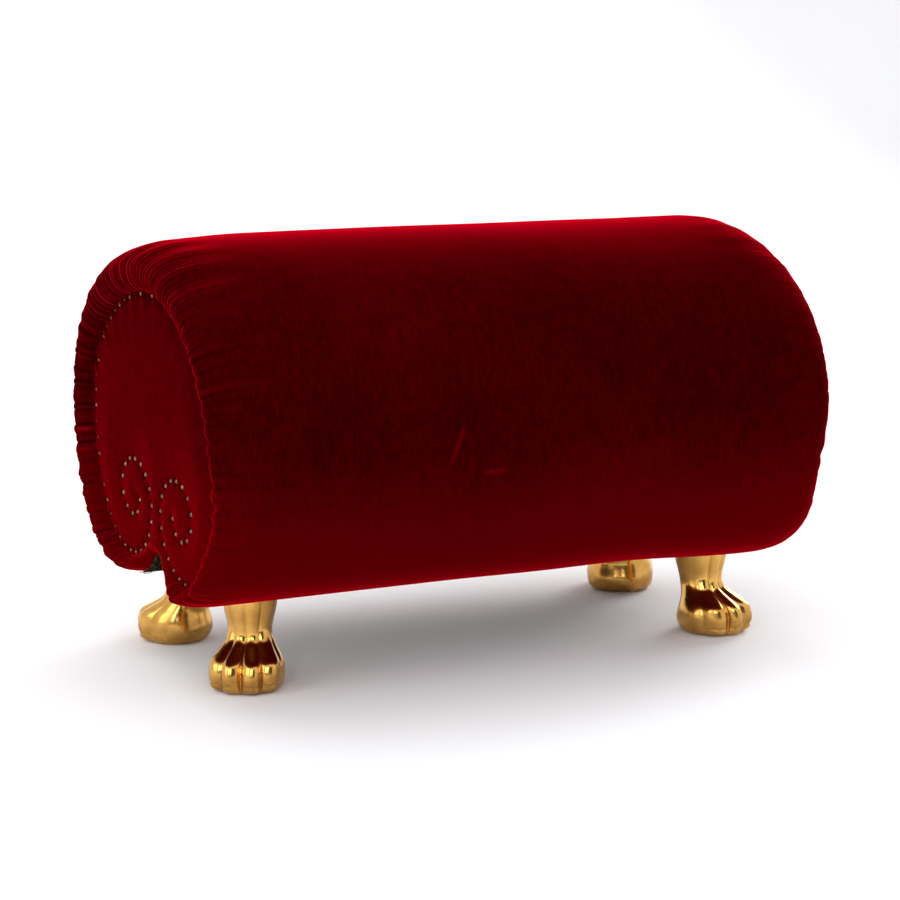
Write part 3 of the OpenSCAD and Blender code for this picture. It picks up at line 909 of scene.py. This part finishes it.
def end_panel(shape, name, sign):
    """A thin pad with the panel's outline. Its face is a set of rings drawn in towards a point
    above the groove. It swells by one minus a bell-like curve of the distance from the nail
    line, and dips by a bell curve at each nail. Its back is flat against the board."""
    y, z = Section(shape).closed(np.arange(PANEL_POINTS) / PANEL_POINTS, [PANEL_GROWTH] * 4)
    middle = np.array([0.0, PANEL_MIDDLE_Z])
    shares = np.concatenate([[1.0], np.linspace(0.995, 0.02, PANEL_RINGS)])[:, None]
    yy = middle[0] + (y[None, :] - middle[0]) * shares
    zz = middle[1] + (z[None, :] - middle[1]) * shares
    nearest = distance_to(nail_spots(shape), yy, zz)
    line = nail_line(shape)[::LINE_STEP]
    from_line = distance_to(np.concatenate([line, line * (-1, 1)]), yy, zz)
    puff = shape.panel_puff * (1 - np.exp(-(from_line / PUFF_REACH) ** PUFF_POWER))
    depth = PANEL_X + PANEL_PROUD + puff - DIMPLE_DEPTH * bell(nearest, 0, DIMPLE_SPREAD)
    depth[0] -= PANEL_RIM_TUCK
    face = np.stack([sign * depth, yy, zz], axis=-1)
    # Painted shadow round each nail, stored for the panel's material.
    shade = bell(nearest, 0, DIMPLE_SHADOW * shape.nail_radius)
    tip = np.array([[sign * (PANEL_X + PANEL_PROUD + shape.panel_puff), *middle]])
    back_x = sign * (PANEL_X - PANEL_BACK)
    back = np.stack([np.full(PANEL_POINTS, back_x), y, z], axis=-1)

    # the face's rings, its middle, the edge down to the back and the back's own middle
    rows, columns = yy.shape
    first = np.arange(columns)
    last = (rows - 1) * columns + first
    fan = np.stack([last, np.roll(last, -1), np.full(columns, rows * columns)], axis=-1)
    back_ids = rows * columns + 1 + first
    wall = np.stack([back_ids, np.roll(back_ids, -1), np.roll(first, -1), first], axis=-1)
    hub = rows * columns + 1 + columns
    back_fan = np.stack([np.roll(back_ids, -1), back_ids, np.full(columns, hub)], axis=-1)
    vertices = np.concatenate([face.reshape(-1, 3), tip, back, [[back_x, *middle]]])
    faces = [*grid_faces(rows, columns, True).tolist(), *fan.tolist(), *wall.tolist(),
             *back_fan.tolist()]
    if sign > 0:
        faces = [face_ids[::-1] for face_ids in faces]
    panel = new_object(name, vertices, faces)
    add_attribute(panel, "painted_nail_shadow", np.concatenate([shade.ravel(), np.zeros(columns + 2)]))
    return panel


class FOOTSTOOL_OT_nails(bpy.types.Operator):
    """Makes the rows of domed nails on both panels"""
    bl_idname = "footstool.nails"
    bl_label = "Nails"

    def execute(self, context):
        shape = shape_of(context)
        material = nail_material(colours_of(context))
        spots = nail_spots(shape)
        for seed, (end, sign) in enumerate(ENDS):
            rng = np.random.default_rng(30 + seed)
            parts = [dome(shape.nail_radius, y, z, sign, rng) for y, z in spots]
            nails = new_object("nail_row_" + end, *join_parts(parts))
            wear(nails, material)
            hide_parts("nails_" + end)
            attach(nails, ROOT)
        return {"FINISHED"}


NAIL_SIDES = 12
NAIL_RIM_SPREAD = (0.94, 1.05)
NAIL_TILT = 0.09
NAIL_SUNK = 0.0011
# Share of the radius and height of each ring, from the turned-in rim to the crown, and the tip
NAIL_PROFILE = ((0.90, -0.0010), (1.0, -0.0004), (0.86, 0.0004), (0.52, 0.0011))
NAIL_TIP = 0.0014


def dome(radius, y, z, sign, rng):
    """A nail head: rings of a low dome with a turned-in rim, tipped a little at random."""
    rim = radius * rng.uniform(*NAIL_RIM_SPREAD)
    tilt = rng.uniform(-NAIL_TILT, NAIL_TILT, 2)
    around = 2 * math.pi * np.arange(NAIL_SIDES) / NAIL_SIDES
    rings = []
    for share, out in NAIL_PROFILE:
        dy, dz = rim * share * np.cos(around), rim * share * np.sin(around)
        rings.append(np.stack([out + tilt[0] * dy + tilt[1] * dz, dy, dz], axis=-1))
    points = np.concatenate(rings + [np.array([[NAIL_TIP, 0, 0]])])
    faces = grid_faces(len(NAIL_PROFILE), NAIL_SIDES, True)
    last = (len(NAIL_PROFILE) - 1) * NAIL_SIDES + np.arange(NAIL_SIDES)
    tip = np.full(NAIL_SIDES, len(NAIL_PROFILE) * NAIL_SIDES)
    caps = np.stack([last, np.roll(last, -1), tip, tip], axis=-1)
    points = points * (sign, 1, 1) + (sign * (PANEL_X - NAIL_SUNK), y, z)
    both = np.concatenate([faces, caps])
    return points, both if sign > 0 else both[:, ::-1]


LINING_SEED = 51
LINING_GRID = (260, 90)
LINING_SHORT = 0.004           # how far each end stops behind the panel's face
LINING_LIFT = 0.0016
LINING_THICKNESS = 0.0008
WRINKLE_WAVES, WRINKLE_HEIGHT = (14, 2, 9), 0.0006
WRINKLE_FADE = 0.02


class FOOTSTOOL_OT_lining(bpy.types.Operator):
    """Makes the dark cloth that lines the groove between the lobes"""
    bl_idname = "footstool.lining"
    bl_label = "Groove lining"

    def execute(self, context):
        shape = shape_of(context)
        points, across, along = lining_surface(shape)
        lining = new_object("lining_cloth", points, grid_faces(*LINING_GRID, False))
        sheet = lining.modifiers.new("cloth_thickness", "SOLIDIFY")
        sheet.thickness = LINING_THICKNESS
        sheet.offset = -1
        wear(lining, lining_material(colours_of(context)))
        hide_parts("groove_lining")
        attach(lining, ROOT)
        return {"FINISHED"}


def lining_surface(shape):
    """The lining as a grid: the section's own curve a little outside the cover, following the
    end rolls' fall, with smooth wrinkles that fade at both ends. Gives the points and the
    cloth's width and length laid flat."""
    low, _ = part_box("groove_lining")
    u = np.linspace(*lining_edges(shape, low[2]), LINING_GRID[1])[None, :]
    end_x = PANEL_X - LINING_SHORT
    x = np.linspace(-end_x, end_x, LINING_GRID[0])[:, None]
    wrinkle = ripples(u * 3, x * 2.2, np.random.default_rng(LINING_SEED),
                      *WRINKLE_WAVES) * WRINKLE_HEIGHT
    lift = LINING_LIFT + wrinkle * smoothstep(0.0, WRINKLE_FADE, end_x - np.abs(x))
    section = Section(shape)
    share = body_share(np.abs(x), section.place(u), shape.roll_run)
    growth = [TUCK_GROWTH + (full - TUCK_GROWTH) * share + lift for full in COVER_GROWTH]
    y, z = section.closed(np.broadcast_to(u, LINING_GRID), growth)
    middle = LINING_GRID[0] // 2
    across = np.hypot(np.diff(y[middle]), np.diff(z[middle])).sum()
    points = np.stack([np.broadcast_to(x, y.shape), y, z], axis=-1)
    return points, float(across), 2 * end_x


LINING_SEARCH = 0.30           # where the search round the section starts, short of the lobe
LINING_CLEAR = 0.001


def lining_edges(shape, low_z):
    """The places round the section, before and after the groove's top, where the cover rises
    past the lining's lowest height."""
    u = np.linspace(LINING_SEARCH, 0.5, SECTION_SAMPLES)
    _, z = Section(shape).closed(u, [np.full(u.shape, g) for g in COVER_GROWTH])
    bottom = np.argmin(z)
    start = bottom + np.argmax(z[bottom:] > low_z + LINING_CLEAR)
    return u[start], 1 - u[start]


# Outline of a paw and its leg at chosen heights, seen from above with the toes forward:
# height, forward shift, half length, half width, depth of the grooves
PAW_LEVELS = np.array([
    (0.0026, 0.0200, 0.0372, 0.0372, 0.0040), (0.0050, 0.0212, 0.0402, 0.0400, 0.0070),
    (0.0090, 0.0218, 0.0420, 0.0416, 0.0092), (0.0150, 0.0220, 0.0430, 0.0424, 0.0104),
    (0.0215, 0.0220, 0.0434, 0.0428, 0.0108), (0.0280, 0.0212, 0.0424, 0.0420, 0.0104),
    (0.0335, 0.0196, 0.0402, 0.0400, 0.0096), (0.0385, 0.0168, 0.0368, 0.0370, 0.0084),
    (0.0430, 0.0132, 0.0332, 0.0336, 0.0070), (0.0480, 0.0090, 0.0296, 0.0302, 0.0056),
    (0.0530, 0.0052, 0.0268, 0.0274, 0.0044), (0.0580, 0.0026, 0.0252, 0.0255, 0.0036),
    (0.0640, 0.0010, 0.0248, 0.0249, 0.0032), (0.0720, 0.0002, 0.0258, 0.0259, 0.0032),
    (0.0820, 0.0000, 0.0282, 0.0283, 0.0032), (0.0920, 0.0000, 0.0303, 0.0303, 0.0028),
    (0.1000, 0.0000, 0.0311, 0.0311, 0.0018), (0.1120, 0.0000, 0.0311, 0.0311, 0.0),
    (0.1195, 0.0000, 0.0310, 0.0310, 0.0)])
TOE_GROOVES = np.radians([-86, -37, 0, 37, 86])
OUTER_GROOVE = 0.35            # depth of the outermost grooves, as a share of the others
OUTER_TOE = math.radians(30)   # the turn over which an outer toe rises
TOE_POWER = 0.66


def toe_lobes(angle):
    """Four rounded toes between sharp grooves: between two grooves it is a root of a sine, and
    outside the last, shallow groove it rises once to its full height."""
    lobes = np.ones_like(angle)
    for low, high in zip(TOE_GROOVES[:-1], TOE_GROOVES[1:]):
        t = np.clip((angle - low) / (high - low), 0, 1)
        left = OUTER_GROOVE if low == TOE_GROOVES[0] else 1.0
        right = OUTER_GROOVE if high == TOE_GROOVES[-1] else 1.0
        deep = left + (right - left) * smoothstep(0.25, 0.75, t)
        toe = 1 - deep * (1 - np.sin(math.pi * t) ** TOE_POWER)
        lobes = np.where((angle >= low) & (angle <= high), toe, lobes)
    past = (np.abs(angle) - TOE_GROOVES[-1]) / OUTER_TOE
    rise = np.sin(np.clip(past, 0, 1) * math.pi / 2) ** TOE_POWER
    return np.where(past > 0, 1 - OUTER_GROOVE * (1 - rise), lobes)


PAW_ROWS, PAW_COLUMNS = 150, 240
PAW_LOW_ROWS = 100             # rows below the ankle
SOLE_Z, ANKLE_Z, LEG_TOP_Z = 0.0026, 0.058, 0.1195
TOE_SAMPLES = 0.35             # how much the samples gather towards the toes
# Bands round the paw: depth, height of the middle and spread
CREASE = (0.0012, 0.0110, 0.0018)
KNUCKLE = (0.0022, 0.0360, 0.006)
HOLLOW = (0.0012, 0.0515, 0.005)
HEEL = (0.0030, 0.016, 0.011)
TENDON_DEPTH, TENDON_RISE, TENDON_FALL = 0.0012, (0.058, 0.070), (0.095, 0.108)
SQUARENESS = 0.90              # below 1 is squarer than an ellipse


def band(z, shape):
    """A bell curve over height, times its depth."""
    depth, middle, spread = shape
    return depth * bell(z, middle, spread)


def paw_surface():
    """A paw and leg as rings of a squarish ellipse that moves forward towards the floor. Toe
    grooves run up the instep into shallow flutes, the toes have a crease below and a heel
    stands out behind. The first ring closes on a flat sole."""
    above = np.linspace(ANKLE_Z, LEG_TOP_Z, PAW_ROWS - PAW_LOW_ROWS + 1)[1:]
    z = np.concatenate([np.linspace(SOLE_Z, ANKLE_Z, PAW_LOW_ROWS), above])[:, None]
    shift, length, width, depth = [hermite(z, PAW_LEVELS[:, 0], PAW_LEVELS[:, k])
                                   for k in range(1, 5)]
    angle = (2 * math.pi * np.arange(PAW_COLUMNS) / PAW_COLUMNS - math.pi)[None, :]
    angle = angle - TOE_SAMPLES * np.sin(angle)
    ahead = np.cos(angle)
    front = smoothstep(-0.2, 0.6, ahead)
    lobes = toe_lobes(angle)
    groove = depth * (1 - lobes) * smoothstep(-0.35, 0.25, ahead)
    crease = band(z, CREASE) * front * lobes
    knuckle = band(z, KNUCKLE) * front * lobes
    hollow = band(z, HOLLOW) * front
    heel = band(z, HEEL) * smoothstep(0.55, 0.95, -ahead)
    tendon = TENDON_DEPTH * np.cos(angle * 3) * smoothstep(*TENDON_RISE, z) * (
        1 - smoothstep(*TENDON_FALL, z)) * front
    out = -groove - crease + knuckle - hollow + heel + tendon
    fx = np.sign(ahead) * np.abs(ahead) ** SQUARENESS
    fy = np.sign(np.sin(angle)) * np.abs(np.sin(angle)) ** SQUARENESS
    x = shift + (length + out) * fx
    y = (width + out) * fy
    return np.stack([x, y, np.broadcast_to(z, x.shape)], axis=-1)


class FOOTSTOOL_OT_feet(bpy.types.Operator):
    """Makes the four gilded paw feet"""
    bl_idname = "footstool.feet"
    bl_label = "Paw feet"

    def execute(self, context):
        material = gilding_material(colours_of(context))
        local = paw_surface()
        rows, columns = local.shape[:2]
        faces = grid_faces(rows, columns, True).tolist()
        sole = list(range(columns - 1, -1, -1))
        top = [(rows - 1) * columns + i for i in range(columns)]
        for foot in FEET:
            turn = leg_turn(foot)
            cx, cy = leg_axis(foot)
            x = cx + local[..., 0] * math.cos(turn) - local[..., 1] * math.sin(turn)
            y = cy + local[..., 0] * math.sin(turn) + local[..., 1] * math.cos(turn)
            points = np.stack([x, y, local[..., 2]], axis=-1)
            paw = new_object("paw_" + foot, points, faces + [sole, top])
            wear(paw, material)
            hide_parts("foot_" + foot)
            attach(paw, ROOT)
        return {"FINISHED"}


def leg_axis(foot):
    """The middle of the leg's bolt, from the frame."""
    low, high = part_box("foot_bolt_" + foot)
    return (low[0] + high[0]) / 2, (low[1] + high[1]) / 2


def leg_turn(foot):
    """The angle of a paw's toes round its leg: from the leg's axis to its felt pad's middle."""
    low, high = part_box("felt_" + foot)
    cx, cy = leg_axis(foot)
    return math.atan2((low[1] + high[1]) / 2 - cy, (low[0] + high[0]) / 2 - cx)


class FOOTSTOOL_OT_frame_finishes(bpy.types.Operator):
    """Gives the wooden frame, the metal fixings and the felt pads their finishes"""
    bl_idname = "footstool.frame_finishes"
    bl_label = "Frame finishes"

    def execute(self, context):
        finishes = {
            "plywood": wood_material("plywood", *PLYWOOD_COLOURS, True),
            "beech": wood_material("beech", *BEECH_COLOURS, False),
            "zinc_steel": steel_material(),
            "felt": felt_material(),
        }
        for part in frame["record"]["subparts"]:
            if part["material_slot"] in finishes:
                wear(frame["nodes"][part["node"]], finishes[part["material_slot"]])
        return {"FINISHED"}


# Name, place, point it faces, width and height, and power in watts
LIGHTS = (
    ("overhead", (-0.5, 0.9, 2.6), (0.0, 0.0, 0.3), (2.4, 1.6), 22.0),
    ("left_side", (-2.6, -0.7, 1.3), (-0.3, 0.0, 0.25), (1.6, 1.6), 16.0),
    ("front_strip_a", (-1.15, -2.9, 1.5), (0.0, 0.0, 0.1), (0.30, 1.2), 15.0),
    ("front_strip_b", (-2.0, -2.5, 1.4), (0.0, 0.0, 0.1), (0.30, 1.2), 15.0),
    ("right_rim", (2.6, 1.2, 1.5), (0.3, 0.0, 0.3), (1.4, 1.4), 44.0),
)
ROOM_LIGHT = (0.95, 0.96, 1.0, 1.0)
ROOM_STRENGTH = 1.05


class FOOTSTOOL_OT_stage(bpy.types.Operator):
    """Makes the floor, the soft lights and the camera"""
    bl_idname = "footstool.stage"
    bl_label = "Stage"

    def execute(self, context):
        floor = sweep_floor()
        wear(floor, floor_material())
        card = dark_card()
        wear(card, card_material())
        for light in LIGHTS:
            soft_light(*light)
        world = bpy.data.worlds.new("studio")
        world.use_nodes = True
        background = world.node_tree.nodes["Background"]
        background.inputs["Color"].default_value = ROOM_LIGHT
        background.inputs["Strength"].default_value = ROOM_STRENGTH
        context.scene.world = world
        context.scene.view_settings.view_transform = "Standard"
        place_camera(context)
        return {"FINISHED"}


FLOOR_FRONT, FLOOR_BACK, FLOOR_TOP = -6.0, 3.2, 5.5
FLOOR_HALF_WIDTH = 7.0
FLOOR_BEND = 1.2


def sweep_floor():
    """A pale floor that curves up into a backdrop behind the object: a profile of a flat run,
    a quarter circle and a rise, carried along X."""
    t = np.linspace(0, math.pi / 2, 24)
    bend_y = FLOOR_BACK - FLOOR_BEND + FLOOR_BEND * np.sin(t)
    bend_z = FLOOR_BEND - FLOOR_BEND * np.cos(t)
    y = np.concatenate([[FLOOR_FRONT], bend_y, [FLOOR_BACK]])
    z = np.concatenate([[0.0], bend_z, [FLOOR_TOP]])
    x = np.array([-FLOOR_HALF_WIDTH, FLOOR_HALF_WIDTH])
    points = np.stack([np.broadcast_to(x[None, :], (len(y), 2)),
                       np.broadcast_to(y[:, None], (len(y), 2)),
                       np.broadcast_to(z[:, None], (len(y), 2))], axis=-1)
    return new_object("studio_floor", points, grid_faces(len(y), 2, False))


CARD_CORNERS = ((-3.6, -3.4, 0.25), (1.9, -4.3, 0.25), (1.9, -4.7, 3.2), (-3.6, -3.8, 3.2))


def dark_card():
    """A large dark card behind the camera, which the polished feet reflect as their dark
    side: a flat rectangle that leans back a little."""
    return new_object("studio_card", np.array(CARD_CORNERS), [[0, 1, 2, 3]], smooth=False)


def card_material():
    """Matt charcoal card with a faint mottle."""
    t = Tree("studio_charcoal")
    colour = t.mix(t.noise(2.3, 2.0, 0.5), (0.020, 0.018, 0.017), (0.034, 0.032, 0.030))
    return t.finish(Base_Color=colour, Roughness=0.9)


def floor_material():
    """Matt off-white paper with a barely visible mottle."""
    t = Tree("studio_paper")
    mottle = t.noise(1.7, 3.0, 0.5)
    colour = t.mix(mottle, (0.86, 0.85, 0.84), (0.90, 0.90, 0.90))
    return t.finish(Base_Color=colour, Roughness=0.75)


def soft_light(name, place, target, size, power):
    """A rectangular soft light at one point, facing another."""
    data = bpy.data.lights.new(name, "AREA")
    data.shape = "RECTANGLE"
    data.size, data.size_y = size
    data.energy = power
    lamp = bpy.data.objects.new(name, data)
    lamp.location = place
    away = Vector(place) - Vector(target)
    lamp.rotation_euler = away.to_track_quat("Z", "Y").to_euler()
    bpy.context.scene.collection.objects.link(lamp)


SENSOR_WIDTH = 36.0            # millimetres, like the lens
LENS = 116.8
CAMERA_AZIMUTH, CAMERA_ELEVATION, CAMERA_DISTANCE = -0.4354, 0.1972, 3.4762
CAMERA_TARGET = (0.0055, 0.0, 0.225)


def place_camera(context):
    """A long lens in front of the left end, a little above the object."""
    data = bpy.data.cameras.new("camera")
    data.sensor_width = SENSOR_WIDTH
    data.lens = LENS
    data.clip_end = 50.0
    data.dof.use_dof = False
    camera = bpy.data.objects.new("camera", data)
    target = Vector(CAMERA_TARGET)
    level = math.cos(CAMERA_ELEVATION)
    back = Vector((math.sin(CAMERA_AZIMUTH) * level, -math.cos(CAMERA_AZIMUTH) * level,
                   math.sin(CAMERA_ELEVATION)))
    camera.location = target + back * CAMERA_DISTANCE
    camera.rotation_euler = back.to_track_quat("Z", "Y").to_euler()
    context.scene.collection.objects.link(camera)
    context.scene.camera = camera


class FOOTSTOOL_PT_panel(bpy.types.Panel):
    bl_label = "Footstool"
    bl_idname = "FOOTSTOOL_PT_panel"
    bl_space_type = "VIEW_3D"
    bl_region_type = "UI"
    bl_category = "Footstool"

    def draw(self, context):
        for settings in (shape_of(context), colours_of(context)):
            for name in settings.__annotations__:
                self.layout.prop(settings, name)
        for operator in OPERATORS:
            self.layout.operator(operator.bl_idname)


OPERATORS = (FOOTSTOOL_OT_cover, FOOTSTOOL_OT_panels, FOOTSTOOL_OT_nails, FOOTSTOOL_OT_lining,
             FOOTSTOOL_OT_feet, FOOTSTOOL_OT_frame_finishes, FOOTSTOOL_OT_stage)
CLASSES = (FootstoolShape, FootstoolColours) + OPERATORS + (FOOTSTOOL_PT_panel,)


def register():
    """Adds the classes and the scene's sizes and colours."""
    for cls in CLASSES:
        bpy.utils.register_class(cls)
    bpy.types.Scene.footstool_shape = bpy.props.PointerProperty(type=FootstoolShape)
    bpy.types.Scene.footstool_colours = bpy.props.PointerProperty(type=FootstoolColours)


def unregister():
    """Takes away what register added."""
    del bpy.types.Scene.footstool_colours
    del bpy.types.Scene.footstool_shape
    for cls in reversed(CLASSES):
        bpy.utils.unregister_class(cls)


def main():
    """Makes every piece in order."""
    register()
    bpy.ops.footstool.cover()
    bpy.ops.footstool.panels()
    bpy.ops.footstool.nails()
    bpy.ops.footstool.lining()
    bpy.ops.footstool.feet()
    bpy.ops.footstool.frame_finishes()
    bpy.ops.footstool.stage()


if __name__ == "__main__":
    main()
